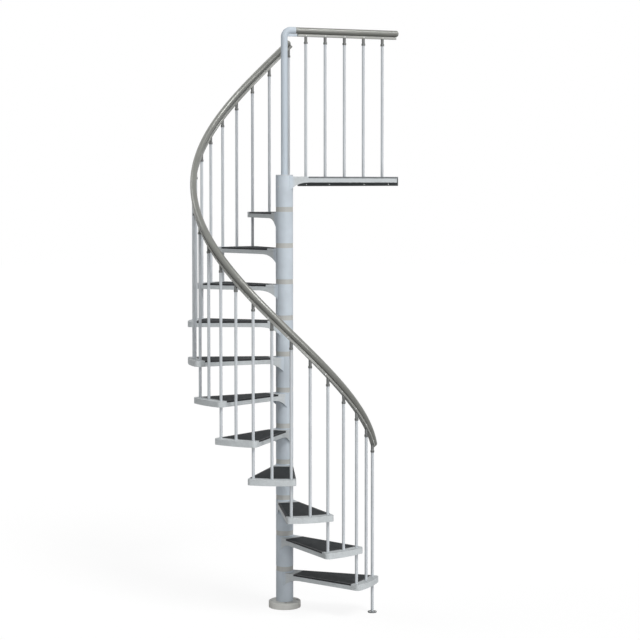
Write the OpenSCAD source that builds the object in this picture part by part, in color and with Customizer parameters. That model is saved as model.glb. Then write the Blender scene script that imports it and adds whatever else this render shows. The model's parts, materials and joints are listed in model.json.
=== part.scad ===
// Outdoor spiral staircase: a column of stacked hubs, wedge treads, a top
// landing and a round handrail on thin balusters.
// Millimetres, +Z up. The origin is the centre of the base flange on the ground,
// and +Y points along the middle of the landing. The stair climbs clockwise.

/* [Flight] */
// Radius from the column's axis to the outer edge of the treads
stair_radius = 600; // [480:5:800]
// Height from one tread to the next
rise = 224; // [180:1:270]
// Turn from one tread to the next, in degrees
tread_turn = 23.2; // [19:0.1:28]
// Number of treads below the landing
tread_count = 11; // [6:1:12]
// Turn left between the top tread's share of the turn and the landing's side, in degrees
landing_gap = 9.6; // [7:0.1:16]

/* [Column] */
// Outer diameter of the hubs
column_d = 108; // [88:1:132]
// Wall of the hubs
hub_wall = 4; // [3:0.5:8]
// How far each hub stands above its tread
hub_collar = 6; // [0:0.5:12]
// Height of the ring between two hubs
spacer_h = 30; // [15:1:50]
// How much smaller the rings are than the hubs, in diameter
spacer_step = 2; // [1:0.5:8]
// Diameter of the pole inside the hubs
pole_d = 60; // [40:1:76]
// Wall of the pole
pole_wall = 4; // [3:0.5:8]
// Thickness of the cap on the top hub
cap_t = 5; // [3:0.5:10]
// Diameter of the set screw in the top hub
set_screw_d = 9; // [6:0.5:14]
// How far the set screw sits below the landing
set_screw_drop = 62; // [50:1:120]

/* [Base] */
// Diameter of the base flange
base_d = 200; // [170:1:300]
// Height of the base flange
base_h = 40; // [20:1:60]
// Radius of the base flange's top edge
base_edge_r = 7; // [2:0.5:12]
// Diameter of the anchor holes
anchor_hole_d = 13; // [8:0.5:18]
// Diameter of the circle of anchor holes
anchor_pcd = 156; // [140:1:160]
// Number of anchor holes
anchor_count = 4; // [3:1:8]

/* [Tread] */
// How far a tread's outer end reaches past its share of the turn, on each side
tread_lap = 27.5; // [22:0.5:40]
// Radius of the tread's outer corners
tread_corner_r = 25; // [10:1:40]
// Thickness of the boards
board_t = 10; // [6:0.5:20]
// Gap around the ends of the boards
board_gap = 1; // [0.3:0.1:3]
// Distance from the column's axis to a board's inner end
board_start = 95; // [80:1:160]
// Height of the side plates below the boards
side_plate_h = 26; // [20:1:60]
// Thickness of the frames' steel
frame_t = 5; // [3:0.5:8]
// Width of the metal end piece
end_piece_w = 55; // [45:1:80]
// Length of the curved bracket below each side plate
bracket_len = 116; // [80:1:200]
// Depth of the curved bracket below the side plate
bracket_drop = 50; // [20:1:90]
// Depth of the bracket's blunt tip
bracket_tip = 1; // [0.5:0.5:6]
// Distance from the column's axis to the cross rib
rib_at = 320; // [200:5:420]

/* [Landing] */
// Distance from the column's axis to the landing's outer face
landing_depth = 615; // [500:5:800]
// Angle between the landing's two sides, in degrees
landing_angle = 60; // [50:1:80]
// Thickness of the fixing plate
fixing_t = 6; // [4:0.5:12]
// How far the fixing plate hangs below the side plates
fixing_drop = 21; // [16:1:60]
// Diameter of the fixing holes
fixing_hole_d = 9; // [6:0.5:14]
// Distance between the two inner fixing holes
fixing_inner = 290; // [150:1:400]
// Distance between the two outer fixing holes
fixing_outer = 684; // [450:1:720]

/* [Balusters] */
// Diameter of a baluster
baluster_d = 18; // [14:0.5:26]
// Distance from the treads' outer edge to the balusters
baluster_inset = 37; // [30:1:45]
// Radial clearance of a baluster in the tread that it passes through
baluster_gap = 0.4; // [0.2:0.1:1]
// How far the last baluster is set on along the circle
last_baluster_shift = 12; // [0:1:14]
// Distance from the column's axis to the first landing baluster
landing_first = 141; // [110:1:200]
// Distance from the last landing baluster to the landing's corner
landing_end_margin = 88; // [40:1:150]
// Number of landing balusters
landing_balusters_n = 5; // [3:1:6]
// Diameter of the first baluster's foot flange
foot_d = 56; // [44:1:80]
// Thickness of the foot flange
foot_t = 6; // [4:0.5:12]
// Diameter of the screw holes in the foot flange
foot_hole_d = 5.5; // [4:0.5:7]
// Diameter of the circle of screw holes in the foot flange
foot_pcd = 40; // [34:1:60]

/* [Handrail] */
// Diameter of the handrail
rail_d = 40; // [30:1:50]
// Width of the strip under the handrail
strip_w = 24; // [16:1:36]
// Height of the strip under the handrail
strip_h = 14; // [8:1:24]
// Gap between the handrail and its strip
strip_gap = 3; // [1:0.5:8]
// Width of the web that joins the strip to the handrail
web_w = 10; // [6:1:16]
// Height of the strip's underside above a tread at its first baluster
stair_rail_h = 812; // [700:1:1000]
// Height of the handrail's axis above the landing
landing_rail_h = 904; // [850:1:1100]
// How far the handrail runs past the first baluster
rail_start_past = 52; // [0:1:90]
// How far the handrail runs past the last baluster
rail_end_past = 12; // [0:1:60]
// How far the strip runs past the first baluster, along the rail
strip_start_past = 40; // [36:1:60]
// Length of the handrail past the last landing baluster
landing_rail_past = 110; // [60:1:160]
// How far the landing strip stops short of the handrail end
strip_set_back = 18; // [12:1:40]
// Depth of the domed end caps
cap_dome = 12; // [4:1:18]

/* [Connectors] */
// Diameter of a connector's neck
neck_d = 19; // [15:0.5:24]
// Diameter of a connector's rim
rim_d = 24; // [20:0.5:32]
// Height of a connector's rim
rim_h = 13; // [6:1:24]
// Height of a whole connector
connector_h = 44; // [30:1:70]

/* [Newel] */
// Outer diameter of the newel post
newel_d = 42; // [34:1:60]
// Wall of the newel post
newel_wall = 3; // [2:0.5:5]
// Radius of the bend on its centre line
newel_bend_r = 42; // [36:1:80]
// Height of the joint in the newel post above the landing
newel_joint_h = 361; // [150:1:600]
// Length of the bend's outlet
newel_outlet = 30; // [10:1:60]
// How far the bracket under the bend reaches from the axis
newel_bracket_reach = 85; // [70:1:130]

/* [Hidden] */
// ---- derived levels and angles ----
TREADS = [for (n = [1 : tread_count]) n];
landing_z = rise * (tread_count + 1);
half_turn = tread_turn / 2;
frame_h = board_t + side_plate_h;
inner_plate_t = board_t + frame_t;
column_r = column_d / 2;
hub_bore_r = column_r - hub_wall;
top_tread_angle = 90 + landing_angle / 2 + landing_gap + half_turn;
last_baluster = 2 * tread_count;
baluster_circle_r = stair_radius - baluster_inset;

function tread_z(n) = n * rise;
function tread_angle(n) = top_tread_angle + (tread_count - n) * tread_turn;
function hub_bottom(n) = n == 1 ? base_h : tread_z(n - 1) + hub_collar + spacer_h;
function arc_turn(length) = length / baluster_circle_r * 180 / PI;
function turned_at(k) = k * half_turn + (k == last_baluster ? arc_turn(last_baluster_shift) : 0);
first_baluster_angle = tread_angle(1) + half_turn;

// ---- tread outline ----
outer_half_w = stair_radius * sin(half_turn) + tread_lap;
outer_x = sqrt(stair_radius^2 - outer_half_w^2);
root_x = sqrt(column_r^2 - (column_r - frame_t / 2)^2);
flare = atan2(outer_half_w - column_r, outer_x - root_x);
end_inner_r = stair_radius - end_piece_w;
bracket_foot = 3;
bracket_run = bracket_len - bracket_foot;
bracket_rise = bracket_drop - bracket_tip;
bracket_r = (bracket_run^2 + bracket_rise^2) / (2 * bracket_rise);

// ---- landing outline ----
landing_half = landing_angle / 2;
rail_side_angle = 90 - landing_half;
landing_side = (landing_depth + column_r * sin(landing_half)) / cos(landing_half);
landing_last = landing_side - landing_end_margin;
landing_spacing = (landing_last - landing_first) / (landing_balusters_n - 1);

// ---- handrail ----
rail_r = rail_d / 2;
strip_top = rail_r + strip_gap;
strip_bottom = strip_top + strip_h;
climb = atan2(rise, baluster_circle_r * tread_turn * PI / 180);
strip_under_z0 = tread_z(1) + stair_rail_h;
rail_axis_z0 = strip_under_z0 + strip_bottom / cos(climb);
landing_rail_z = landing_z + landing_rail_h;
rail_top_turn = last_baluster * half_turn + arc_turn(rail_end_past);
landing_rail_from = newel_bend_r + newel_outlet;
landing_rail_to = landing_last + landing_rail_past;
dome_r = (rail_r^2 + cap_dome^2) / (2 * cap_dome);

// ---- small clearances and finenesses ----
seat_gap = 0.2;
strip_seat_gap = 0.5;
plate_set_in = 1;
rib_inset = plate_set_in + frame_t / 2;
rib_step = 2;
rib_h = side_plate_h - 2 * rib_step;
overlap = 1;
far = 3 * stair_radius;
round_fn = 96;
rail_sides = 20;
ring_turn = 4;

function pad2(n) = n < 10 ? str("0", n) : str(n);
function frame_name(n) = str("tread_frame_", pad2(n));
function board_name(n) = str("tread_board_", pad2(n));

// ---- colours ----
galvanised = "#b9bfc6";
spacer_grey = "#a9aca8";
anthracite = "#3a3d40";
rail_grey = "#8d8f8b";
connector_grey = "#6b6e6d";

// ---- shared shapes ----
// A tube that stands on z = 0.
module tube(outer_r, inner_r, h) {
    difference() {
        cylinder(r = outer_r, h = h, $fn = round_fn);
        translate([0, 0, -overlap])
            cylinder(r = inner_r, h = h + 2 * overlap, $fn = round_fn);
    }
}

// Children turned to point along an angle in plan, at a height.
module at_angle(angle, z = 0) {
    translate([0, 0, z])
        rotate([0, 0, angle])
            children();
}

// The children, and the children mirrored across the X axis.
module both_sides() {
    children();
    mirror([0, 1, 0]) children();
}

// An outline's upper points, with their mirror images below the X axis.
function mirrored(points) = concat(
    points,
    [for (i = [len(points) - 1 : -1 : 0]) [points[i].x, -points[i].y]]
);

// ---- base ----
module base_flange() {
    color(galvanised)
        difference() {
            rotate_extrude($fn = round_fn) {
                square([base_d / 2, base_h - base_edge_r]);
                square([base_d / 2 - base_edge_r, base_h]);
                translate([base_d / 2 - base_edge_r, base_h - base_edge_r])
                    circle(r = base_edge_r, $fn = round_fn);
            }
            for (i = [0 : anchor_count - 1])
                at_angle(45 + i * 360 / anchor_count, -overlap)
                    translate([anchor_pcd / 2, 0, 0])
                        cylinder(d = anchor_hole_d, h = base_h + 2 * overlap, $fn = round_fn);
        }
}

module foot_flange() {
    color(galvanised)
        at_angle(first_baluster_angle)
            translate([baluster_circle_r, 0, 0])
                difference() {
                    cylinder(d = foot_d, h = foot_t, $fn = round_fn);
                    for (i = [0 : 2])
                        at_angle(i * 120, -overlap)
                            translate([foot_pcd / 2, 0, 0])
                                cylinder(d = foot_hole_d, h = foot_t + 2 * overlap, $fn = round_fn);
                }
}

// ---- column ----
module center_pole() {
    color(galvanised)
        translate([0, 0, base_h])
            tube(pole_d / 2, pole_d / 2 - pole_wall, landing_z + hub_collar - base_h);
}

module spacer_rings() {
    color(spacer_grey)
        for (n = TREADS)
            translate([0, 0, tread_z(n) + hub_collar])
                tube(column_r - spacer_step / 2, hub_bore_r, spacer_h);
}

// The hub of the tread n, from the ring below it to its collar.
module hub(n) {
    translate([0, 0, hub_bottom(n)])
        tube(column_r, hub_bore_r, tread_z(n) + hub_collar - hub_bottom(n));
}

module hub_cap() {
    color(galvanised)
        translate([0, 0, landing_z + hub_collar])
            cylinder(r = column_r - spacer_step / 2, h = cap_t, $fn = round_fn);
}

// A length of the set screw's shank, between two distances from the column's axis.
module set_screw_shank(from, to) {
    translate([0, -from, landing_z - set_screw_drop])
        rotate([90, 0, 0])
            cylinder(d = set_screw_d, h = to - from, $fn = round_fn);
}

module hub_set_screw() {
    color("silver") set_screw_shank(hub_bore_r + overlap, column_r + overlap);
}

// ---- treads ----
// Centre of a tread's rounded outer corner, for an outline drawn smaller by inset.
function corner_centre(inset) =
    let (
        corner_r = max(tread_corner_r - inset, overlap),
        along = [cos(flare), sin(flare)],
        start = [root_x, column_r - inset / cos(flare)] + corner_r * [sin(flare), -cos(flare)],
        reach = stair_radius - inset - corner_r,
        b = start * along
    )
    start + along * (sqrt(b^2 - start * start + reach^2) - b);

// Plan of a tread that points along +X: flared sides, an outer arc and round corners.
module tread_plan(inset = 0) {
    corner_r = max(tread_corner_r - inset, overlap);
    c = corner_centre(inset);
    on_side = c + corner_r * [-sin(flare), cos(flare)];
    intersection() {
        circle(r = stair_radius - inset, $fn = round_fn);
        polygon(mirrored([c * root_x / c.x, c * far / c.x]));
    }
    polygon(mirrored([[root_x, column_r - inset / cos(flare)], on_side, c]));
    both_sides()
        translate(c)
            circle(r = corner_r, $fn = round_fn);
}

// Half the tread's width at a distance along it.
function half_w_at(x) = column_r + (x - root_x) * tan(flare);

// The part of a tread's flared plan between two distances along it, drawn narrower by inset.
module tread_plan_between(from, to, inset = 0) {
    side = inset / cos(flare);
    polygon(mirrored([[from, half_w_at(from) - side], [to, half_w_at(to) - side]]));
}

// The tread's outer strip, between its end piece's inner arc and its edge.
module end_piece_plan(inset = 0) {
    difference() {
        tread_plan(inset);
        circle(r = end_inner_r + inset, $fn = round_fn);
    }
}

// Side plate along +X with its curved bracket at the hub. Its outer face is on y = 0.
module side_plate(length) {
    rotate([90, 0, 0])
        linear_extrude(frame_t) {
            translate([0, -frame_h]) square([length, side_plate_h]);
            difference() {
                translate([0, -frame_h - bracket_drop])
                    square([bracket_len, bracket_drop + overlap]);
                translate([bracket_len, -frame_h - bracket_tip - bracket_r])
                    circle(r = bracket_r, $fn = 2 * round_fn);
            }
        }
}

module end_piece() {
    difference() {
        translate([0, 0, -frame_h]) linear_extrude(frame_h) end_piece_plan();
        translate([0, 0, -frame_h - overlap])
            linear_extrude(side_plate_h + board_t - frame_t + overlap) end_piece_plan(frame_t);
        rotate([0, 0, half_turn])
            translate([baluster_circle_r, 0, -frame_h])
                cylinder(d = baluster_d + 2 * baluster_gap, h = 2 * frame_h, $fn = round_fn);
    }
}

// The steel arm of a tread along +X, with its top on z = 0.
module tread_arm() {
    side_len = (outer_x - root_x) / cos(flare) - end_piece_w + frame_t / 2;
    difference() {
        union() {
            both_sides()
                translate([root_x, column_r - plate_set_in, 0])
                    rotate([0, 0, flare])
                        side_plate(side_len);
            end_piece();
            translate([0, 0, -inner_plate_t])
                linear_extrude(inner_plate_t) tread_plan_between(root_x, board_start);
            translate([0, 0, -frame_h + rib_step])
                linear_extrude(rib_h) tread_plan_between(rib_at, rib_at + frame_t, rib_inset);
        }
        cylinder(r = column_r - hub_wall / 2, h = far, center = true, $fn = round_fn);
    }
}

module tread_frame(n) {
    color(galvanised) {
        hub(n);
        at_angle(tread_angle(n), tread_z(n)) tread_arm();
    }
}

module tread_board(n) {
    color(anthracite)
        at_angle(tread_angle(n), tread_z(n) - board_t)
            linear_extrude(board_t)
                intersection() {
                    tread_plan_between(board_start + board_gap, stair_radius);
                    circle(r = end_inner_r - board_gap, $fn = round_fn);
                }
}

// ---- landing ----
// Plan of the landing along +X up to a distance from the column's axis, narrower by inset.
module landing_plan(to, inset) {
    side = column_r - inset;
    side_at = (to + side * sin(landing_half)) / cos(landing_half);
    function on_side(s) = [
        s * cos(landing_half) - side * sin(landing_half),
        s * sin(landing_half) + side * cos(landing_half)
    ];
    polygon(mirrored([on_side(root_x), on_side(side_at)]));
}

// A strip of the landing's plan between two distances from the column's axis.
module landing_strip(from, to, inset = 0) {
    intersection() {
        landing_plan(to, inset);
        translate([from, -far]) square([to - from, 2 * far]);
    }
}

module landing_arm() {
    frame_end = landing_depth - fixing_t;
    rib_count = 2;
    difference() {
        union() {
            both_sides()
                rotate([0, 0, landing_half])
                    translate([root_x, column_r - plate_set_in, 0])
                        side_plate(landing_side - root_x);
            translate([0, 0, -inner_plate_t])
                linear_extrude(inner_plate_t) landing_strip(-far, board_start);
            translate([0, 0, -frame_h + rib_step])
                linear_extrude(rib_h) {
                    landing_strip(frame_end - frame_t, frame_end + overlap, rib_inset);
                    for (i = [1 : rib_count]) {
                        rib_x = frame_end * i / (rib_count + 1);
                        landing_strip(rib_x, rib_x + frame_t, rib_inset);
                    }
                }
        }
        translate([frame_end, -far, -frame_h - overlap])
            cube([far, 2 * far, frame_h + 2 * overlap]);
        cylinder(r = column_r - hub_wall / 2, h = far, center = true, $fn = round_fn);
    }
}

module landing_frame() {
    color(galvanised)
        difference() {
            union() {
                hub(tread_count + 1);
                at_angle(90, landing_z) landing_arm();
            }
            set_screw_shank(hub_bore_r - overlap, column_r + 2 * overlap);
        }
}

module landing_board() {
    color(anthracite)
        at_angle(90, landing_z - board_t)
            linear_extrude(board_t) landing_strip(board_start + board_gap, landing_depth);
}

module landing_fixing_plate() {
    plate_w = 2 * (landing_side * sin(landing_half) + column_r * cos(landing_half));
    plate_h = side_plate_h + fixing_drop;
    color(anthracite)
        at_angle(90, landing_z - board_t - plate_h)
            difference() {
                translate([landing_depth - fixing_t, -plate_w / 2, 0])
                    cube([fixing_t, plate_w, plate_h]);
                for (y = [-fixing_outer, -fixing_inner, fixing_inner, fixing_outer] / 2)
                    translate([landing_depth - fixing_t - overlap, y, fixing_drop / 2])
                        rotate([0, 90, 0])
                            cylinder(d = fixing_hole_d, h = fixing_t + 2 * overlap, $fn = round_fn);
            }
}

// ---- balusters and their connectors ----
// Height of the strip's underside at a turn from the first baluster.
function strip_under_z(turned) = strip_under_z0 + turned / tread_turn * rise;

function baluster_foot_z(k) =
    k == 0 ? foot_t : tread_z(ceil(k / 2));

// Children at the baluster k of the flight, at a height, with +X outwards.
module at_baluster(k, z) {
    at_angle(first_baluster_angle - turned_at(k), z)
        translate([baluster_circle_r, 0, 0])
            children();
}

// Children at the baluster i of the landing, at a height.
module at_landing_baluster(i, z) {
    at_angle(rail_side_angle, z)
        translate([landing_first + i * landing_spacing, 0, 0])
            children();
}

module stair_balusters() {
    color(galvanised)
        for (k = [0 : last_baluster]) {
            top_z = strip_under_z(turned_at(k)) - connector_h;
            at_baluster(k, baluster_foot_z(k))
                cylinder(d = baluster_d, h = top_z - baluster_foot_z(k), $fn = round_fn);
        }
}

module landing_balusters() {
    color(galvanised)
        for (i = [0 : landing_balusters_n - 1])
            at_landing_baluster(i, landing_z)
                cylinder(d = baluster_d, h = landing_rail_h - strip_bottom - connector_h, $fn = round_fn);
}

// A connector that hangs below the strip, with its top cut to the strip's slope.
module connector(slope) {
    difference() {
        translate([0, 0, -connector_h]) {
            cylinder(d = rim_d, h = rim_h, $fn = round_fn);
            cylinder(d = neck_d, h = connector_h + neck_d, $fn = round_fn);
        }
        rotate([-slope, 0, 0])
            translate([-rim_d, -far / 2, -strip_seat_gap])
                cube([2 * rim_d, far, connector_h]);
    }
}

module stair_connectors() {
    color(connector_grey)
        for (k = [0 : last_baluster])
            at_baluster(k, strip_under_z(turned_at(k))) connector(climb);
}

module landing_connectors() {
    color(connector_grey)
        for (i = [0 : landing_balusters_n - 1])
            at_landing_baluster(i, landing_rail_z - strip_bottom) connector(0);
}

// ---- handrail ----
rail_section = [for (j = [0 : rail_sides - 1]) rail_r * [cos(j * 360 / rail_sides), sin(j * 360 / rail_sides)]];

strip_section = let (w = strip_w / 2, web = web_w / 2) [
    [-w, -strip_bottom], [w, -strip_bottom], [w, -strip_top], [web, -strip_top],
    [web, -rail_r - seat_gap], [-web, -rail_r - seat_gap], [-web, -strip_top], [-w, -strip_top]
];

function rail_axis_z(turned) = rail_axis_z0 + turned / tread_turn * rise;

// A section's points on the rail's helix: its x runs outwards and its y up, square to the rail.
function helix_ring(section, turned) =
    let (
        a = first_baluster_angle - turned,
        outwards = [cos(a), sin(a), 0],
        up = [-sin(climb) * sin(a), sin(climb) * cos(a), cos(climb)],
        centre = baluster_circle_r * outwards + [0, 0, rail_axis_z(turned)]
    )
    [for (p = section) centre + p.x * outwards + p.y * up];

// A section swept along the rail's helix between two turns.
module helix_sweep(section, from, to) {
    sides = len(section);
    steps = ceil((to - from) / ring_turn);
    points = [for (i = [0 : steps]) each helix_ring(section, from + (to - from) * i / steps)];
    walls = [
        for (i = [0 : steps - 1])
            for (j = [0 : sides - 1])
                let (a = i * sides + j, b = i * sides + (j + 1) % sides)
                each [[a, a + sides, b], [b, a + sides, b + sides]]
    ];
    first_end = [for (j = [0 : sides - 1]) j];
    last_end = [for (j = [sides - 1 : -1 : 0]) steps * sides + j];
    polyhedron(points, concat([first_end, last_end], walls), convexity = 10);
}

module stair_handrail() {
    color(rail_grey)
        helix_sweep(rail_section, -arc_turn(rail_start_past), rail_top_turn);
}

module stair_rail_strip() {
    color(rail_grey)
        helix_sweep(strip_section, -arc_turn(strip_start_past), rail_top_turn);
}

module landing_handrail() {
    color(rail_grey)
        at_angle(rail_side_angle, landing_rail_z)
            translate([landing_rail_from, 0, 0])
                rotate([0, 90, 0])
                    cylinder(r = rail_r, h = landing_rail_to - cap_dome - landing_rail_from, $fn = round_fn);
}

module landing_rail_strip() {
    color(rail_grey)
        at_angle(rail_side_angle, landing_rail_z)
            translate([newel_bracket_reach + overlap, 0, 0])
                rotate([90, 0, 90])
                    linear_extrude(landing_rail_to - strip_set_back - newel_bracket_reach - overlap)
                        polygon(strip_section);
}

// A dome on z = 0 that closes the handrail's end.
module end_cap() {
    intersection() {
        cylinder(r = rail_r, h = cap_dome, $fn = round_fn);
        translate([0, 0, cap_dome - dome_r]) sphere(r = dome_r, $fn = round_fn);
    }
}

// Children on the rail's helix at a turn, with +Z along the climbing rail.
module on_helix(turned) {
    at_angle(first_baluster_angle - turned, rail_axis_z(turned))
        translate([baluster_circle_r, 0, 0])
            rotate([90 - climb, 0, 0])
                children();
}

module rail_end_caps() {
    color(rail_grey) {
        on_helix(-arc_turn(rail_start_past)) rotate([180, 0, 0]) end_cap();
        on_helix(rail_top_turn) end_cap();
        at_angle(rail_side_angle, landing_rail_z)
            translate([landing_rail_to - cap_dome, 0, 0])
                rotate([0, 90, 0])
                    end_cap();
    }
}

// ---- newel ----
module newel_post() {
    from = landing_z + hub_collar + cap_t;
    color(galvanised)
        translate([0, 0, from])
            tube(newel_d / 2, newel_d / 2 - newel_wall, landing_z + newel_joint_h - from);
}

// The bend's volume from the joint to its outlet along +X, for a given tube radius.
module newel_bend_solid(r, end = 0) {
    joint_z = landing_z + newel_joint_h;
    bend_z = landing_rail_z - newel_bend_r;
    translate([0, 0, joint_z - end])
        cylinder(r = r, h = bend_z - joint_z + end, $fn = round_fn);
    translate([newel_bend_r, 0, bend_z])
        rotate([90, 0, 0])
            rotate([0, 0, 90])
                rotate_extrude(angle = 90, $fn = round_fn)
                    translate([newel_bend_r, 0]) circle(r = r, $fn = round_fn);
    translate([newel_bend_r, 0, landing_rail_z])
        rotate([0, 90, 0])
            cylinder(r = r, h = newel_outlet + end, $fn = round_fn);
}

module newel_bend() {
    color(galvanised)
        at_angle(rail_side_angle)
            difference() {
                newel_bend_solid(newel_d / 2);
                newel_bend_solid(newel_d / 2 - newel_wall, overlap);
            }
}

module newel_bracket() {
    color(galvanised)
        at_angle(rail_side_angle)
            difference() {
                translate([0, 0, landing_rail_z - strip_bottom]) {
                    translate([0, -strip_w / 2, 0])
                        cube([newel_bracket_reach - strip_w / 2, strip_w, strip_h]);
                    translate([newel_bracket_reach - strip_w / 2, 0, 0])
                        cylinder(d = strip_w, h = strip_h, $fn = round_fn);
                }
                newel_bend_solid(newel_d / 2 + seat_gap);
            }
}

base_flange();
foot_flange();
center_pole();
spacer_rings();
for (n = TREADS) tread_frame(n);
for (n = TREADS) tread_board(n);
landing_frame();
landing_board();
landing_fixing_plate();
hub_cap();
hub_set_screw();
newel_post();
newel_bend();
newel_bracket();
stair_balusters();
landing_balusters();
stair_connectors();
landing_connectors();
stair_handrail();
stair_rail_strip();
landing_handrail();
landing_rail_strip();
rail_end_caps();
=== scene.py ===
# %% [markdown]
# # An outdoor spiral staircase
# The stair is a kit: a column of stacked hubs, eleven wedge treads that turn round
# it, a landing at the top, thin balusters and a round handrail that climbs as a
# helix. Its solid parts are already made and measured, so this lesson does the
# rest: it smooths the swept rails, adds the small fittings that a fitter would use,
# and gives every surface a finish built from nodes.

# %% Load the frame
import json
import math

import bmesh
import bpy
from mathutils import Matrix, Vector


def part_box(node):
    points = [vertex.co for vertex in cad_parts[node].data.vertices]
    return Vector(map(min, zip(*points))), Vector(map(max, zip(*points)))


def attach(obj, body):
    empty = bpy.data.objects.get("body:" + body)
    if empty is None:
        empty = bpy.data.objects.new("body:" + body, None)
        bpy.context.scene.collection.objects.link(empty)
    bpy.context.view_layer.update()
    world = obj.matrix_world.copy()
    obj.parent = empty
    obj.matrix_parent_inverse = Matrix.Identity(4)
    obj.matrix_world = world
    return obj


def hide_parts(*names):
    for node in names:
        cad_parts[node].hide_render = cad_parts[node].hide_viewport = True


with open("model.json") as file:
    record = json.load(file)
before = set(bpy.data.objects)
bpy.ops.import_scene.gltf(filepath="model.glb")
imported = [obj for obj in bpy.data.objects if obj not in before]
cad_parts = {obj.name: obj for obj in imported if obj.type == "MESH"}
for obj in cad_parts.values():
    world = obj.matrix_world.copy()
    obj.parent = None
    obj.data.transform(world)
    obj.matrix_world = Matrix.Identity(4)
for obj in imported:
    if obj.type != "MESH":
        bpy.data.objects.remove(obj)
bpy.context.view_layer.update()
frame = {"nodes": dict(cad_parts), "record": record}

# %% [markdown]
# ## Reading the sizes
# Nothing here is measured twice. Each node's box says where it is, and a node that
# holds many loose pieces, such as the balusters, is split into islands so that each
# piece gives its own place. A CAD mesh is loose triangles, so a copy is merged first.

# %% Helper: the loose pieces of a node
MERGE = 1e-5


def merged_copy(node):
    """A bmesh copy of a CAD node with its doubled vertices merged."""
    bm = bmesh.new()
    bm.from_mesh(frame["nodes"][node].data)
    bmesh.ops.remove_doubles(bm, verts=bm.verts, dist=MERGE)
    return bm


def islands(node):
    """(lowest corner, highest corner) of every loose piece of a node, lowest piece first."""
    bm = merged_copy(node)
    seen, boxes = set(), []
    for start in bm.verts:
        if start in seen:
            continue
        stack, points = [start], []
        seen.add(start)
        while stack:
            vert = stack.pop()
            points.append(vert.co.copy())
            for edge in vert.link_edges:
                other = edge.other_vert(vert)
                if other not in seen:
                    seen.add(other)
                    stack.append(other)
        boxes.append((Vector(map(min, zip(*points))), Vector(map(max, zip(*points)))))
    bm.free()
    return sorted(boxes, key=lambda box: box[1].z)


print("spacer rings:", len(islands("spacer_rings")))

# %% [markdown]
# The handrail is a helix, and two neighbouring balusters say everything about it: how
# far it turns and how far it climbs from one to the next. Their circle's radius turns
# that into a slope.

# %% The flight's turn and climb
TREADS = sorted(n for n in frame["nodes"] if n.startswith("tread_frame_"))
BOARDS = sorted(n for n in frame["nodes"] if n.startswith("tread_board_"))
STAIR_BALUSTERS = islands("stair_balusters")
LANDING_BALUSTERS = sorted(islands("landing_balusters"), key=lambda box: box[1].y)


def middle(box):
    return (box[0] + box[1]) / 2


def heading(point):
    return math.atan2(point.y, point.x)


RAIL_CIRCLE = middle(STAIR_BALUSTERS[0]).xy.length
step_turn = heading(middle(STAIR_BALUSTERS[0])) - heading(middle(STAIR_BALUSTERS[1]))
step_rise = STAIR_BALUSTERS[1][1].z - STAIR_BALUSTERS[0][1].z
LIFT = step_rise / step_turn
CLIMB = math.atan2(LIFT, RAIL_CIRCLE)
print("balusters", len(STAIR_BALUSTERS), "on a circle of radius", round(RAIL_CIRCLE, 4))
print("turn per baluster", round(math.degrees(step_turn), 2))
print("climb", round(math.degrees(CLIMB), 1))

# %% [markdown]
# ## Camera
# The stair is seen from the landing's handrail side, from about the height of the
# landing and from ten and a half metres away. A long lens and a camera that is nearly
# level keep the upright lines upright, and a small shift centres the stair instead of a
# tilt. The camera's place is given along two ground directions: straight back from the
# column and to the right of it.

# %% Camera
VIEW_AZIMUTH = math.radians(40)
BACK = Vector((math.sin(VIEW_AZIMUTH), -math.cos(VIEW_AZIMUTH), 0))
RIGHT = Vector((math.cos(VIEW_AZIMUTH), math.sin(VIEW_AZIMUTH), 0))
UP = Vector((0, 0, 1))
CAMERA_BACK, CAMERA_RIGHT, CAMERA_HEIGHT = 10.457, 0.2210, 2.5885
LOOK_DOWN_DEGREES = 2.285
LENS_MM, SENSOR_MM = 94.77, 36
SHIFT_DOWN = 0.094
SEES_AS_FAR_AS = 60

camera_data = bpy.data.cameras.new("camera")
camera_data.sensor_width = SENSOR_MM
camera_data.lens = LENS_MM
camera_data.shift_y = -SHIFT_DOWN
camera_data.clip_end = SEES_AS_FAR_AS
camera = bpy.data.objects.new("camera", camera_data)
camera.location = CAMERA_BACK * BACK + CAMERA_RIGHT * RIGHT + CAMERA_HEIGHT * UP
camera.rotation_euler = (math.radians(90 - LOOK_DOWN_DEGREES), 0, VIEW_AZIMUTH)
bpy.context.scene.collection.objects.link(camera)
bpy.context.scene.camera = camera
print("camera", [round(v, 2) for v in camera.location])

# %% [markdown]
# ## Nodes as arithmetic
# A finish is easier to read as a formula than as a drawing of boxes, so one small
# class wraps the output of a node. Adding or multiplying two of them makes the Math
# node. Every other node comes from one method that takes its type, its settings and
# the values of its sockets.


# %% One output of a node
def live(sockets, key):
    """The socket of that name or number among those in use."""
    used = [s for s in sockets if s.enabled]
    return used[key] if isinstance(key, int) else next(s for s in used if s.name == key)


class Wire:
    """One output of a node, on which sums and products can be written."""

    def __init__(self, nodes, node, output=0):
        self.nodes, self.node = nodes, node
        self.socket = live(node.outputs, output)

    def out(self, output):
        return Wire(self.nodes, self.node, output)

    def __add__(self, other):
        return self.nodes.math("ADD", self, other)

    def __mul__(self, other):
        return self.nodes.math("MULTIPLY", self, other)

    def __rsub__(self, other):
        return self.nodes.math("SUBTRACT", other, self)

    __radd__ = __add__
    __rmul__ = __mul__


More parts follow.
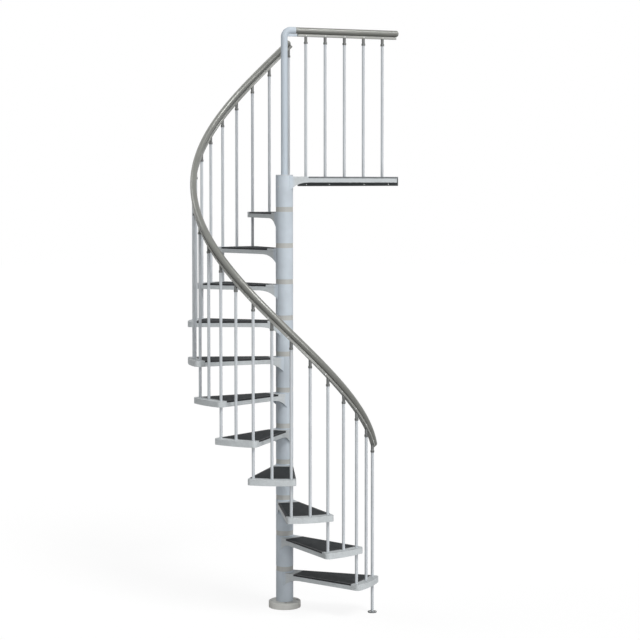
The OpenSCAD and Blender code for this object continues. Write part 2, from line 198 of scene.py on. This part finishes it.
# %% The nodes of a finish or of the sky
class Nodes:
    """The nodes of one finish or of the sky, added by short calls."""

    def __init__(self, tree):
        self.tree = tree

    def plug(self, socket, value):
        if isinstance(value, Wire):
            self.tree.links.new(value.socket, socket)
        elif socket.type == "RGBA":
            socket.default_value = (*value[:3], 1)
        else:
            socket.default_value = value

    def node(self, kind, settings=None, inputs=None):
        made = self.tree.nodes.new("ShaderNode" + kind)
        for name, value in (settings or {}).items():
            setattr(made, name, value)
        for key, value in (inputs or {}).items():
            self.plug(live(made.inputs, key), value)
        return Wire(self, made)

    def math(self, operation, *values):
        return self.node("Math", {"operation": operation}, dict(enumerate(values)))


# %% The finish maker
CLOUD_LOW, CLOUD_HIGH = 0.35, 0.65


class Finish(Nodes):
    """A material on the Principled shader."""

    def __init__(self, name):
        self.material = bpy.data.materials.new(name)
        self.material.use_nodes = True
        super().__init__(self.material.node_tree)
        self.shader = self.tree.nodes["Principled BSDF"]

    def place(self):
        """The point on the surface, in metres, in the stair's own frame."""
        return self.node("TexCoord").out("Object")

    def noise(self, scale, detail, stretch=(1, 1, 1)):
        """Cloudy noise about 0.5, with features about 1 / scale metres across."""
        where = self.node("Mapping", {}, {"Vector": self.place(), "Scale": stretch})
        return self.node("TexNoise", {}, {"Vector": where, "Scale": scale, "Detail": detail})

    def ramp(self, value, low, high):
        """Stretches a value so that low becomes 0 and high becomes 1."""
        return self.node("MapRange", {}, {"Value": value, "From Min": low, "From Max": high})

    def clouds(self, scale, detail):
        """Noise that is stretched to run from 0 to 1."""
        return self.ramp(self.noise(scale, detail), CLOUD_LOW, CLOUD_HIGH)

    def blend(self, mask, first, second):
        """A colour that goes from the first to the second as the mask goes from 0 to 1."""
        colours = {"Factor": mask, "A": first, "B": second}
        return self.node("Mix", {"data_type": "RGBA"}, colours)

    def bump(self, height, depth, strength):
        """A bump whose full height is depth metres."""
        return self.node("Bump", {}, {"Height": height, "Distance": depth, "Strength": strength})

    def finish(self, **sockets):
        """Sets the shader's sockets: base_color=..., roughness=..."""
        for name, value in sockets.items():
            label = name.replace("_", " ").title().replace("Ior", "IOR")
            self.plug(self.shader.inputs[label], value)
        return self.material


# %% [markdown]
# A colour is easiest to choose as it is seen, from 0 to 255, but shaders work in linear
# light. One function turns the first into the second, and another darkens a colour
# evenly, which is how every cloud and streak below gets its darker tone.

# %% Colours
def srgb(red, green, blue):
    """A colour as it is seen on a screen, 0 to 255, in the linear numbers that shaders use."""
    def linear(value):
        value /= 255
        return value / 12.92 if value <= 0.04045 else ((value + 0.055) / 1.055) ** 2.4
    return tuple(linear(v) for v in (red, green, blue))


def shaded(colour, share):
    """A colour at a share of its brightness."""
    return [part * share for part in colour]


print("half grey on a screen is", round(srgb(128, 128, 128)[0], 3), "in linear light")

# %% [markdown]
# ## Light
# A steel stair looks right under a bright, even sky with one clear direction, so that
# each bracket drops a soft shadow on the column below it. A world of low strength fills
# the shadows from all sides. A stair is tall, and a softbox near its top would burn that
# end out, so the three lamps are suns with a wide disc, which give soft edges and the
# same light all the way up. For the camera and for reflections the world is plain white,
# by Light Path.

# %% World
SKY_LEVEL = 0.15
world = bpy.data.worlds.new("studio")
bpy.context.scene.world = world
world.use_nodes = True
sky = Nodes(world.node_tree)
rays = sky.node("LightPath")
seen_directly = rays.out("Is Camera Ray")
for ray in ("Is Glossy Ray", "Is Transmission Ray"):
    seen_directly = sky.math("MAXIMUM", seen_directly, rays.out(ray))
brightness = sky.node("MapRange", {}, {"Value": seen_directly, "To Min": SKY_LEVEL})
background = sky.tree.nodes["Background"].inputs
sky.plug(background["Color"], (1, 1, 1))
sky.plug(background["Strength"], brightness)
print("the sky lights the stair at", SKY_LEVEL)

# %% Lamps
LAMP_AWAY = 4


def wide_sun(name, towards_lamp, degrees, strength):
    """A sun with a disc as wide as a softbox, which lights the stair evenly all the way up."""
    data = bpy.data.lights.new(name, "SUN")
    data.angle = math.radians(degrees)
    data.energy = strength
    lamp = bpy.data.objects.new(name, data)
    lamp.location = LAMP_AWAY * towards_lamp
    lamp.rotation_euler = towards_lamp.to_track_quat("Z", "Y").to_euler()
    bpy.context.scene.collection.objects.link(lamp)
    print(name, "shines from", [round(v, 2) for v in towards_lamp])


high_right = (1.1 * UP + 0.8 * BACK + 0.58 * RIGHT).normalized()
low_front = (0.12 * UP + 1.0 * BACK + 0.5 * RIGHT).normalized()
high_left = (1.0 * UP - 0.1 * BACK - 1.0 * RIGHT).normalized()
wide_sun("high_right", high_right, degrees=20, strength=1.8)
wide_sun("low_front", low_front, degrees=30, strength=1.2)
wide_sun("high_left", high_left, degrees=30, strength=0.6)

# %% [markdown]
# ## Floor
# A plain pale floor carries the stair's soft shadow. To the camera it is mostly its own
# white, so that it meets the white background with no line, and the rest of what the
# camera sees is the light that falls on it.

# %% Floor
FLOOR_HALF = 60
FLOOR_WHITE = 0.80
FLOOR_GLOW = 1.12
PAPER_DARK, PAPER_LIGHT = srgb(212, 212, 212), srgb(218, 218, 218)
floor_mesh = bpy.data.meshes.new("floor")
floor_bm = bmesh.new()
bmesh.ops.create_grid(floor_bm, x_segments=1, y_segments=1, size=FLOOR_HALF)
floor_bm.to_mesh(floor_mesh)
floor_bm.free()
floor = bpy.data.objects.new("floor", floor_mesh)
bpy.context.scene.collection.objects.link(floor)

paper = Finish("floor_paper")
paper_tone = paper.blend(paper.noise(scale=60, detail=3), PAPER_DARK, PAPER_LIGHT)
paper.finish(base_color=paper_tone, roughness=1.0)
own_white = paper.node("Emission", {}, {"Color": (1, 1, 1), "Strength": FLOOR_GLOW})
camera_share = paper.node("LightPath").out("Is Camera Ray") * FLOOR_WHITE
paper_mix = paper.node(
    "MixShader", {}, {0: camera_share, 1: Wire(paper, paper.shader), 2: own_white}
)
paper.plug(paper.tree.nodes["Material Output"].inputs["Surface"], paper_mix)
floor.data.materials.append(paper.material)
print("floor", 2 * FLOOR_HALF, "m wide")

# %% [markdown]
# ## Finishes
# The steel is galvanised and then coated in a light blue-grey. A coat like that is
# never one flat colour: it has faint clouds, thin upright streaks where water has run,
# and the fine ripple of a sprayed surface. The ripple is a bump of a few hundredths of a
# millimetre, so that it breaks a highlight up without showing as lumps.

# %% Light coat
COAT_GLOSS = 0.2
RIPPLE_DEPTH = 0.00003
STREAK_STRETCH = (1, 1, 0.07)


def steel_coat(name, colour, shade=0.88, roughness=0.42):
    f = Finish(name)
    cloud = f.clouds(scale=7, detail=4)
    streak = f.ramp(f.noise(scale=55, detail=3, stretch=STREAK_STRETCH), low=0.30, high=0.70)
    ripple = f.noise(scale=700, detail=2)
    return f.finish(
        base_color=f.blend(0.55 * cloud + 0.45 * streak, shaded(colour, shade), colour),
        roughness=roughness + 0.10 * cloud,
        specular_ior_level=COAT_GLOSS,
        normal=f.bump(ripple, RIPPLE_DEPTH, strength=0.5),
    )


COAT = steel_coat("galvanised_coat", srgb(203, 208, 212))
print("coat on tubes and cap:", COAT.name)

# %% [markdown]
# A tread's frame is one casting with two surfaces. Its hub is machined smooth, and its
# plates keep the rough skin of the mould. Two materials on one mesh would need the faces
# to be sorted, so one material does both: the distance from the column's axis is a mask
# that goes from the hub's tone to the mottled tone of the plates.

# %% Cast frames
PLATES_FROM = 0.062
PLATES_BLEND = 0.012
CAST_DEPTH = 0.00005


def cast_coat(name, hub_colour, plate_colour):
    """The coat on a tread's frame: smooth on the hub, mottled on the rougher plates."""
    f = Finish(name)
    mottle = f.ramp(f.noise(scale=80, detail=4), low=0.34, high=0.66)
    cloud = f.clouds(scale=9, detail=3)
    along = f.node("SeparateXYZ", {}, {0: f.place()})
    x, y = along.out("X"), along.out("Y")
    radius = f.math("SQRT", x * x + y * y)
    plates = f.ramp(radius, PLATES_FROM, PLATES_FROM + PLATES_BLEND)
    hub_tone = f.blend(cloud, shaded(hub_colour, 0.90), hub_colour)
    rough_skin = 0.5 * mottle + 0.5 * cloud
    plate_tone = f.blend(rough_skin, shaded(plate_colour, 0.84), plate_colour)
    return f.finish(
        base_color=f.blend(plates, hub_tone, plate_tone),
        roughness=0.44 + 0.12 * mottle,
        specular_ior_level=COAT_GLOSS,
        normal=f.bump(f.noise(scale=240, detail=3), CAST_DEPTH, strength=0.4),
    )


FRAME_COAT = cast_coat("cast_frame_coat", srgb(201, 210, 218), srgb(203, 208, 210))
print("coat on frames:", FRAME_COAT.name)

# %% [markdown]
# The fixing plate and the small foot are coloured a dark grey, darker than the rest of the steel.
# The screws and nuts are bare and smoother.

# %% Coats of the other parts
POST_COAT = steel_coat("post_coat", srgb(198, 208, 217), shade=0.9)
RING = steel_coat("spacer_ring_coat", srgb(191, 192, 189), shade=0.9, roughness=0.5)
# The base's coat is lighter than the rest of the steel: partly its own warmer tone, partly
# painted light that makes up for the shadow the treads cast on it.
BASE_COAT = steel_coat("base_coat", srgb(222, 222, 217), shade=0.95)
FOOT_COAT = steel_coat("foot_coat", srgb(128, 131, 132))
SCREW = steel_coat("screw_steel", srgb(226, 227, 227), roughness=0.3)
NUT = steel_coat("nut_zinc", srgb(150, 153, 155), shade=0.8, roughness=0.35)
DARK = steel_coat("dark_plate_coat", srgb(98, 102, 103), shade=0.8)
print("coats:", [m.name for m in (POST_COAT, RING, BASE_COAT, FOOT_COAT, SCREW, NUT, DARK)])

# %% [markdown]
# The boards are anthracite, and their walking face is pressed with fine granules for
# grip. Voronoi cells about two millimetres across give each granule its own shade and a
# rounded bump, and a slower cloud makes the mottling that shows from further off. The
# smooth edge of a board is a little darker and glossier than its face.

# %% Board finishes
GRANULES_PER_METRE = 450.0
GRANULE_DEPTH = 0.0006
EDGE_DEPTH = 0.0001


def board_granules(name, colour):
    f = Finish(name)
    grain = f.node("TexVoronoi", {}, {"Vector": f.place(), "Scale": GRANULES_PER_METRE})
    fleck = f.ramp(f.node("SeparateColor", {}, {0: grain.out("Color")}), low=0.1, high=0.9)
    mottle = f.clouds(scale=28, detail=4)
    pattern = 0.5 * fleck + 0.5 * mottle
    return f.finish(
        base_color=f.blend(pattern, shaded(colour, 0.6), shaded(colour, 1.4)),
        roughness=0.70 + 0.15 * mottle,
        specular_ior_level=0.15,
        normal=f.bump(1 - grain.out("Distance"), GRANULE_DEPTH, strength=0.5),
    )


def board_edge(name, colour):
    f = Finish(name)
    mottle = f.clouds(scale=40, detail=3)
    return f.finish(
        base_color=f.blend(mottle, shaded(colour, 0.75), colour),
        roughness=0.5 + 0.1 * mottle,
        specular_ior_level=0.25,
        normal=f.bump(f.noise(scale=500, detail=2), EDGE_DEPTH, strength=0.4),
    )


DECK = board_granules("board_granules", srgb(48, 51, 53))
DECK_EDGE = board_edge("board_edge", srgb(44, 46, 49))
LANDING_EDGE = board_edge("landing_edge", srgb(122, 126, 129))
print("board finishes:", [m.name for m in (DECK, DECK_EDGE, LANDING_EDGE)])

# %% [markdown]
# The handrail has a smooth taupe cover with a satin gloss. It is drawn through a die,
# so it has next to no texture of its own; a clear coat on top gives the narrow
# highlight. The strip under it is bare and lighter, and the connectors are moulded in a
# darker grey.

# %% Handrail and connectors
COVER_METAL = 0.3
COVER_DEPTH = 0.00002


def satin_cover(name, colour, roughness, gloss):
    f = Finish(name)
    cloud = f.clouds(scale=11, detail=4)
    fine = f.noise(scale=260, detail=3)
    return f.finish(
        base_color=f.blend(cloud, shaded(colour, 0.90), colour),
        roughness=roughness + 0.10 * fine,
        metallic=COVER_METAL,
        coat_weight=gloss + 0.1 * cloud,
        coat_roughness=0.2,
        normal=f.bump(fine, COVER_DEPTH, strength=0.4),
    )


COVER = satin_cover("rail_cover", srgb(126, 127, 122), roughness=0.30, gloss=0.3)
STRIP = satin_cover("strip_grey", srgb(150, 151, 147), roughness=0.40, gloss=0.1)
CLAMP = satin_cover("connector_grey", srgb(104, 106, 105), roughness=0.34, gloss=0.2)
print("rail finishes:", [m.name for m in (COVER, STRIP, CLAMP)])

# %% [markdown]
# ## Softening the steel
# Real plate and castings have no knife edges: cutting, casting and coating leave a
# radius of about a millimetre, and it is what catches the light along an edge. A Bevel
# modifier would work on the loose triangles and find no edges to round. So a copy of the
# node is merged, its flat faces are joined again, and its sharp edges are bevelled. The
# copy then stands for the node.

# %% Helper: a piece from a bmesh
SMOOTH_BELOW = math.radians(38)
SLOTS = {part["node"]: part["material_slot"] for part in frame["record"]["subparts"]}


def piece(name, bm, finishes, slot, replaces=()):
    """A finished object at the origin that rides with the stair."""
    mesh = bpy.data.meshes.new(name)
    bmesh.ops.recalc_face_normals(bm, faces=bm.faces)
    bm.to_mesh(mesh)
    bm.free()
    for finish in finishes:
        mesh.materials.append(finish)
    mesh.polygons.foreach_set("use_smooth", [True] * len(mesh.polygons))
    mesh.set_sharp_from_angle(angle=SMOOTH_BELOW)
    made = bpy.data.objects.new(name, mesh)
    bpy.context.scene.collection.objects.link(made)
    even = made.modifiers.new("even_shading", "WEIGHTED_NORMAL")
    even.keep_sharp = True
    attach(made, "root")
    if replaces:
        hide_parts(*replaces)
    print(name, len(mesh.polygons), "faces")


def stand_in(name, bm, finishes, node):
    """A piece that is shown in place of a node."""
    piece(name, bm, finishes, SLOTS[node], [node])


# %% Helper: a softened copy of a node
FLAT_WITHIN = math.radians(1)
SHORT_EDGE = 0.0015
SHARP_ABOVE = math.radians(40)


def join_flat_faces(bm):
    bmesh.ops.dissolve_limit(bm, angle_limit=FLAT_WITHIN, verts=bm.verts, edges=bm.edges)


def to_be_rounded(edge):
    """Whether an edge is sharp and has room for a radius.

    The edges shorter than SHORT_EDGE lie where two curved plates cross.
    """
    return (
        len(edge.link_faces) == 2
        and edge.calc_face_angle(0) > SHARP_ABOVE
        and edge.calc_length() > SHORT_EDGE
    )


def softened(node, radius):
    """A merged copy of a node with its flat faces joined and its sharp edges rounded."""
    bm = merged_copy(node)
    join_flat_faces(bm)
    bmesh.ops.bevel(
        bm, geom=[edge for edge in bm.edges if to_be_rounded(edge)], offset=radius,
        offset_type="OFFSET", segments=2, profile=0.5, affect="EDGES",
        clamp_overlap=False, material=-1,
    )
    return bm


# %% Steel parts with softened edges
SOFT_RADIUS = {
    FRAME_COAT: (TREADS + ["landing_frame"], 0.0007),
    COAT: (["hub_cap"], 0.0008),
    POST_COAT: (["newel_post", "newel_bend", "newel_bracket", "center_pole"], 0.0006),
    RING: (["spacer_rings"], 0.0008),
    BASE_COAT: (["base_flange"], 0.0008),
    FOOT_COAT: (["foot_flange"], 0.0008),
    DARK: (["landing_fixing_plate"], 0.0007),
    CLAMP: (["stair_connectors", "landing_connectors"], 0.0012),
}
for finish, (nodes, radius) in SOFT_RADIUS.items():
    for node in nodes:
        stand_in(node + "_soft", softened(node, radius), [finish], node)

# %% [markdown]
# The balusters and the straight handrail are plain drawn tubes. Their ends are hidden
# in the parts that hold them, so a bevel would not be seen: a merged copy with round
# shading is enough.

# %% Tubes
for node, finish in {
    "stair_balusters": COAT,
    "landing_balusters": COAT,
    "landing_handrail": COVER,
}.items():
    stand_in(node + "_round", merged_copy(node), [finish], node)

# %% [markdown]
# ## Boards with a pressed face
# A board's walking face is pressed inside a smooth border, with a narrow groove between
# the two. A bump could only paint the groove, so it is cut into the mesh: the top face is
# inset for the border, inset again and sunk for the groove, and inset and raised for the
# face, which gets the granules.

# %% Boards
BOARD_SOFT = 0.0008
BORDER_W = 0.009
GROOVE_W = 0.0015
GROOVE_DEPTH = 0.0008
FACES_UP = 0.99


def pressed_board(node, edge_finish):
    bm = softened(node, BOARD_SOFT)
    top = max(bm.faces, key=lambda f: f.calc_area() if f.normal.z > FACES_UP else 0)
    for width, rise in ((BORDER_W, 0), (GROOVE_W, -GROOVE_DEPTH), (GROOVE_W, GROOVE_DEPTH)):
        bmesh.ops.inset_region(bm, faces=[top], thickness=width, depth=rise, use_even_offset=True)
    top.material_index = 1
    stand_in(node + "_pressed", bm, [edge_finish, DECK], node)


for node in BOARDS:
    pressed_board(node, DECK_EDGE)
pressed_board("landing_board", LANDING_EDGE)

# %% [markdown]
# ## The climbing handrail
# The rail is a round tube bent to a helix. The spin tool makes it exactly: a circle set
# square to the rail at its lower end is turned round the column in small steps, and each
# step also lifts it. The rail's end caps are flat on the side that meets the tube, so
# their flat faces give the two ends of its axis.

# %% The ends of the rails
RAIL_END_COUNT = 3


def flat_ends(node):
    """(centre, normal, radius) of the flat face of each loose piece, lowest piece first."""
    bm = merged_copy(node)
    join_flat_faces(bm)
    discs = sorted(bm.faces, key=lambda f: f.calc_area())[-RAIL_END_COUNT:]
    ends = [
        (f.calc_center_median(), f.normal.copy(), f.calc_perimeter() / math.tau) for f in discs
    ]
    bm.free()
    return sorted(ends, key=lambda end: end[0].z)


RAIL_ENDS = flat_ends("rail_end_caps")
RAIL_START, _, RAIL_R = RAIL_ENDS[0]
RAIL_TURN = (RAIL_ENDS[1][0].z - RAIL_START.z) / LIFT
print("rail from", [round(v, 3) for v in RAIL_START], "turns", round(math.degrees(RAIL_TURN), 1))

# %% Helper: sweeping a section along the rail
SWEEP_STEP = math.radians(2)


def rail_place(turn):
    """The rail's own axes at a turn from its start: x outwards, y up and square, z along.

    Seen from above the stair climbs clockwise, so a turn is a negative rotation.
    """
    spin = Matrix.Rotation(-turn, 3, "Z")
    outwards = (spin @ Vector((RAIL_START.x, RAIL_START.y, 0))).normalized()
    along = outwards.cross(UP) * math.cos(CLIMB) + UP * math.sin(CLIMB)
    place = Matrix((outwards, along.cross(outwards), along)).transposed().to_4x4()
    place.translation = spin @ RAIL_START + UP * LIFT * turn
    return place


def swept(section, start, turn):
    """A section in the rail's own x and y, spun from a start by a turn, with closed ends."""
    bm = bmesh.new()
    place = rail_place(start)
    ring = [bm.verts.new(place @ Vector((x, y, 0))) for x, y in section]
    face = bm.faces.new(ring)
    steps = max(1, round(abs(turn) / SWEEP_STEP))
    bmesh.ops.spin(
        bm, geom=[face] + face.edges[:] + face.verts[:], cent=(0, 0, 0), axis=UP,
        dvec=UP * LIFT * turn / steps, angle=-turn, steps=steps, use_duplicate=False,
    )
    return bm


# %% The handrail's tube
RAIL_SIDES = 40


def circle_section(radius, sides):
    angles = (i * math.tau / sides for i in range(sides))
    return [(radius * math.cos(a), radius * math.sin(a)) for a in angles]


stair_tube = swept(circle_section(RAIL_R, RAIL_SIDES), start=0, turn=RAIL_TURN)
stand_in("stair_handrail_tube", stair_tube, [COVER], "stair_handrail")

# %% [markdown]
# Below the tube runs a flat strip on a narrow web. The balusters' connectors are
# screwed to it. Its section is the same all the way, so the same sweep makes it, with
# small chamfers at its corners. The landing's strip is straight, and is only softened.

# %% The strips under the handrails
STRIP_TOP, STRIP_BOTTOM, STRIP_HALF = -0.023, -0.037, 0.012
WEB_TOP, WEB_HALF, CHAMFER = -0.0202, 0.005, 0.0015
STRIP_SET_BACK = 0.012
STRIP_SOFT = 0.0012


def strip_section():
    """The strip's outline, from its lower right corner round to its lower left."""
    right = [
        (STRIP_HALF - CHAMFER, STRIP_BOTTOM), (STRIP_HALF, STRIP_BOTTOM + CHAMFER),
        (STRIP_HALF, STRIP_TOP - CHAMFER), (STRIP_HALF - CHAMFER, STRIP_TOP),
        (WEB_HALF, STRIP_TOP), (WEB_HALF, WEB_TOP),
    ]
    return right + [(-x, y) for x, y in reversed(right)]


strip_start = STRIP_SET_BACK / RAIL_CIRCLE
stair_strip = swept(strip_section(), strip_start, RAIL_TURN - strip_start)
stand_in("stair_strip_swept", stair_strip, [STRIP], "stair_rail_strip")
landing_strip = softened("landing_rail_strip", STRIP_SOFT)
stand_in("landing_strip_soft", landing_strip, [STRIP], "landing_rail_strip")

# %% [markdown]
# ## Turned fittings
# Caps, screws, nuts and washers are all turned parts, so one tool makes them: a short
# profile of radius and height is spun full circle, or in six steps for a hexagon. Each
# shape is made once and then laid down at every place that it is used.

# %% Helper: spinning a profile
def turned(profile, sides):
    """A closed solid from (radius, height) points that start and end on the axis."""
    bm = bmesh.new()
    line = [bm.verts.new((r, 0, z)) for r, z in profile]
    edges = [bm.edges.new(pair) for pair in zip(line, line[1:])]
    bmesh.ops.spin(
        bm, geom=line + edges, cent=(0, 0, 0), axis=UP, dvec=(0, 0, 0),
        angle=math.tau, steps=sides, use_merge=True, use_duplicate=False,
    )
    bmesh.ops.remove_doubles(bm, verts=bm.verts, dist=MERGE)
    mesh = bpy.data.meshes.new("turned")
    bmesh.ops.recalc_face_normals(bm, faces=bm.faces)
    bm.to_mesh(mesh)
    bm.free()
    return mesh


# %% Helper: laying copies down
def lay_down(name, shapes, places, finish, slot, replaces=()):
    """One piece with every shape laid down at every place."""
    bm = bmesh.new()
    for place in places:
        for shape in shapes:
            before = len(bm.verts)
            bm.from_mesh(shape)
            bm.verts.ensure_lookup_table()
            bmesh.ops.transform(bm, matrix=place, verts=bm.verts[before:])
    piece(name, bm, [finish], slot, replaces)


def facing(point, direction):
    """A placement at a point whose z axis looks in a direction."""
    place = Vector(direction).to_track_quat("Z", "Y").to_matrix().to_4x4()
    place.translation = point
    return place


def at_height(box, z):
    """The point at a height on the upright axis of a box."""
    return Vector((*middle(box).xy, z))


# %% [markdown]
# The three rail ends are closed by shallow domed caps. A dome is part of a sphere whose
# radius follows from the tube's radius and the dome's height, so its profile is a few
# points along that arc. Its flat side lies on the flat face that the frame gives.

# %% Domed caps on the three rail ends
CAP_DOME = 0.012
CAP_STEPS = 8
DOME_R = (RAIL_R**2 + CAP_DOME**2) / (2 * CAP_DOME)
dome_edge = math.asin(RAIL_R / DOME_R)
dome_angles = [dome_edge * (1 - i / CAP_STEPS) for i in range(CAP_STEPS + 1)]
cap_profile = [(0, 0)] + [
    (DOME_R * math.sin(a), DOME_R * math.cos(a) - DOME_R + CAP_DOME) for a in dome_angles
]
rail_cap = turned(cap_profile, sides=RAIL_SIDES)
cap_places = [facing(centre, -normal) for centre, normal, _ in RAIL_ENDS]
lay_down("rail_caps_domed", [rail_cap], cap_places, COVER, SLOTS["rail_end_caps"],
         ["rail_end_caps"])

# %% [markdown]
# A small pan-head screw holds each connector to the strip. Its driver socket is sunk
# into the head by the profile itself, so no cutting is needed.

# %% Screws along the strips
PAN_HEAD = [
    (0, 0.0012), (0.0014, 0.0012), (0.0016, 0.0024), (0.0026, 0.0022),
    (0.0036, 0.0014), (0.0040, 0.0004), (0.0040, -0.0006), (0, -0.0006),
]
pan_head = turned(PAN_HEAD, sides=16)
STRIP_MIDDLE = (STRIP_TOP + STRIP_BOTTOM) / 2
ON_STRIP_SIDE = (
    Matrix.Translation((STRIP_HALF, STRIP_MIDDLE, 0)) @ Matrix.Rotation(math.pi / 2, 4, "Y")
)


def turn_to(box):
    """The turn from the rail's start to a baluster."""
    return (heading(RAIL_START) - heading(middle(box))) % math.tau


stair_screws = [rail_place(turn_to(box)) @ ON_STRIP_SIDE for box in STAIR_BALUSTERS]
landing_along = (middle(LANDING_BALUSTERS[-1]) - middle(LANDING_BALUSTERS[0])).normalized()
LANDING_SIDE = landing_along.cross(UP)
landing_strip_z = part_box("landing_rail_strip")[0].z + (STRIP_TOP - STRIP_BOTTOM) / 2
landing_screws = [
    facing(at_height(box, landing_strip_z) + LANDING_SIDE * STRIP_HALF, LANDING_SIDE)
    for box in LANDING_BALUSTERS
]
lay_down("strip_screws", [pan_head], stair_screws + landing_screws, SCREW,
         SLOTS["hub_set_screw"])
print("strip screws", len(stair_screws) + len(landing_screws))

# %% [markdown]
# ## Feet of the balusters
# Each baluster stands on a tread's end piece and is held from below by a hexagon screw
# through a washer. They only show from underneath, where a climber on the flight below
# sees them. On the landing the same screws come up through the board. The first baluster
# stands on its own foot, so it gets none.

# %% Washers and hexagon screws
PLATE_T = 0.005
WASHER_T = 0.0016
WASHER = [(0, 0), (0.0088, 0), (0.0090, 0.0003), (0.0090, WASHER_T), (0, WASHER_T)]
HEXAGON = [
    (0, WASHER_T), (0.0070, WASHER_T), (0.0074, 0.0022),
    (0.0074, 0.0060), (0.0066, 0.0068), (0, 0.0068),
]
board_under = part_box("landing_board")[0].z
foot_points = [at_height(box, box[0].z - PLATE_T) for box in STAIR_BALUSTERS[1:]]
foot_points += [at_height(box, board_under) for box in LANDING_BALUSTERS]
under_feet = [facing(point, -UP) for point in foot_points]
washer, hexagon = turned(WASHER, sides=24), turned(HEXAGON, sides=6)
lay_down("baluster_foot_screws", [washer, hexagon], under_feet, NUT, SLOTS["hub_set_screw"])
print("foot screws", len(under_feet))

# %% [markdown]
# ## At the floor and at the landing hub
# Four plugs cover the anchor holes in the base. Three pan-head screws hold the foot of
# the first baluster, and a hollow set screw locks the landing's hub. The plugs and the
# foot's screws stand on a circle, which one helper turns into places.

# %% Base plugs and foot screws
ANCHOR_CIRCLE, FOOT_CIRCLE = 0.078, 0.020
PLUG_CAP = [
    (0, 0), (0.0088, 0), (0.0090, 0.0006), (0.0080, 0.0016), (0.0050, 0.0023), (0, 0.0025),
]


def around(box, radius, first_turn, count):
    """Places on a circle on top of a box, evenly spread from a first turn."""
    x, y = middle(box).xy
    turns = [first_turn + i * math.tau / count for i in range(count)]
    return [
        Matrix.Translation((x + radius * math.cos(a), y + radius * math.sin(a), box[1].z))
        for a in turns
    ]


base_box, foot_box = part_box("base_flange"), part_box("foot_flange")
plug_places = around(base_box, ANCHOR_CIRCLE, first_turn=math.radians(45), count=4)
plug_cap = turned(PLUG_CAP, sides=28)
lay_down("base_plugs", [plug_cap], plug_places, RING, SLOTS["base_flange"])
foot_places = around(foot_box, FOOT_CIRCLE, first_turn=heading(middle(foot_box)), count=3)
lay_down("foot_screws", [pan_head], foot_places, SCREW, SLOTS["hub_set_screw"])
print("plugs", len(plug_places), "foot flange screws", len(foot_places))

# %% Set screw in the landing's hub
SET_SCREW = [
    (0, -0.0030), (0.0022, -0.0030), (0.0024, -0.0002), (0.0040, 0),
    (0.0045, -0.0006), (0.0045, -0.0039), (0, -0.0039),
]
set_low, set_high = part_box("hub_set_screw")
set_place = facing(Vector((0, set_low.y, (set_low.z + set_high.z) / 2)), (0, -1, 0))
set_screw = turned(SET_SCREW, sides=24)
lay_down("set_screw_hollow", [set_screw], [set_place], SCREW,
         SLOTS["hub_set_screw"], ["hub_set_screw"])

# %% [markdown]
# ## The view transform
# The pieces stand for parts that were measured, so together they have to keep inside the
# same box. The last step sets the Standard view transform.

# %% The view transform
bpy.context.scene.view_settings.view_transform = "Standard"
